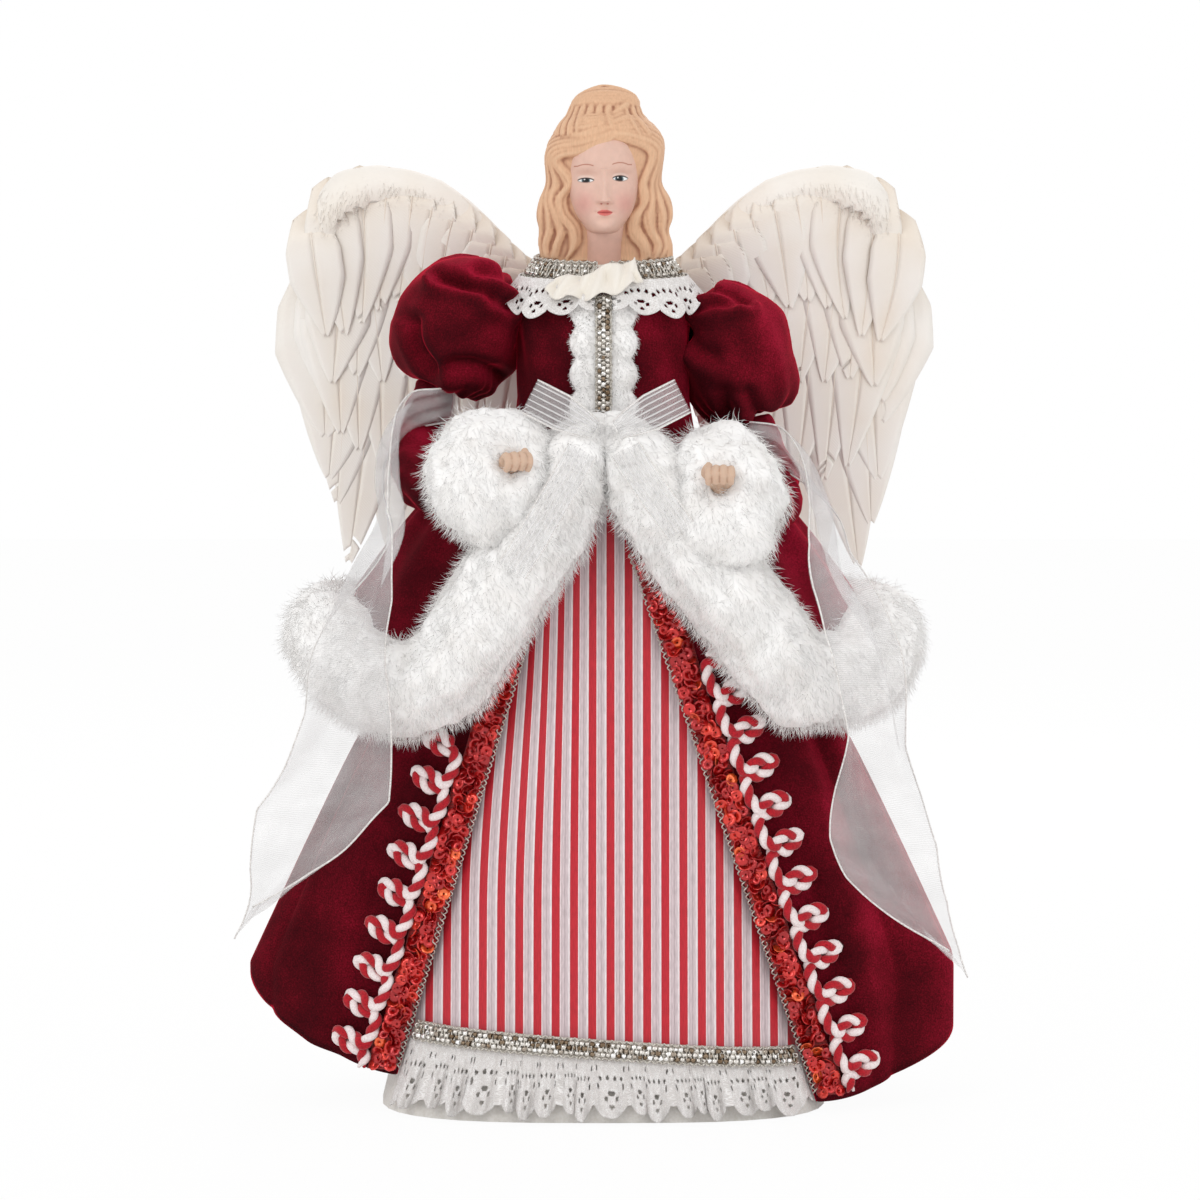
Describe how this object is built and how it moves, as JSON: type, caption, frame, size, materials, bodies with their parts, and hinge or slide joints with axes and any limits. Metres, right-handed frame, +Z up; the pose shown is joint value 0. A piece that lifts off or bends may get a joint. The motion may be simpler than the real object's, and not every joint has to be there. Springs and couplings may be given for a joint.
{
  "type": "angel tree topper",
  "caption": "Angel doll in a velvet robe and fake fur over an open cone that slides down over the tip of a tree, with feather wings that bend back.",
  "frame": {"origin": "centre of the footprint at the level of the cone's rim", "axes": "+Z up to the angel's head; the angel faces -Y; +X is to the right in the picture"},
  "size_m": [0.2883, 0.1546, 0.406],
  "materials": {
    "cardboard": "matt cream card",
    "striped_satin": "red and silver striped satin with glitter lines",
    "velvet": "deep red velvet with a soft sheen",
    "fake_fur": "short white fake fur",
    "lace": "white eyelet lace and felt",
    "silver_beads": "silvered beads and sequins",
    "red_sequins": "red sequins with a silver edge",
    "candy_cord": "red and white twisted cord",
    "cast_resin": "matt painted casting",
    "foam": "white foam",
    "wire": "plain wire",
    "feathers": "cream feathers and down",
    "organza": "sheer white organza with a corded edge"
  },
  "bodies": {
    "angel": {"cone_form": "cardboard", "striped_panel": "striped_satin", "hem_lace": "lace", "hem_braid": "silver_beads", "velvet_robe": "velvet", "torso_form": "foam", "velvet_bodice": "velvet", "head_casting": "cast_resin", "arm_wire_left": "wire", "hand_left": "cast_resin", "sleeve_puff_left": "velvet", "sleeve_lower_left": "velvet", "fur_cuff_left": "fake_fur", "arm_wire_right": "wire", "hand_right": "cast_resin", "sleeve_puff_right": "velvet", "sleeve_lower_right": "velvet", "fur_cuff_right": "fake_fur", "peplum_fur_left": "fake_fur", "peplum_fur_right": "fake_fur", "velvet_peplum": "velvet", "sequin_braid_left": "red_sequins", "looped_cord_left": "candy_cord", "sequin_braid_right": "red_sequins", "looped_cord_right": "candy_cord", "placket_felt": "lace", "placket_beads": "silver_beads", "collar_braid": "silver_beads", "collar_lace": "lace", "bow_knot": "organza", "bow_loop_left": "organza", "bow_tail_left": "organza", "bow_loop_right": "organza", "bow_tail_right": "organza", "scarf_left": "organza", "scarf_right": "organza", "wing_plate": "cardboard"},
    "wing_left": {"wing_wire_left": "wire", "wing_primaries_left": "feathers", "wing_secondaries_left": "feathers", "wing_coverts_left": "feathers", "wing_down_left": "feathers"},
    "wing_right": {"wing_wire_right": "wire", "wing_primaries_right": "feathers", "wing_secondaries_right": "feathers", "wing_coverts_right": "feathers", "wing_down_right": "feathers"}
  },
  "joints": [
    {"name": "wing_left_fold", "type": "hinge", "parent": "angel", "child": "wing_left", "pos_m": [-0.011, 0.033, 0.3], "axis": [0, 0, -1], "range_deg": [0, 35]},
    {"name": "wing_right_fold", "type": "hinge", "parent": "angel", "child": "wing_right", "pos_m": [0.011, 0.033, 0.3], "axis": [0, 0, 1], "range_deg": [0, 35]}
  ]
}
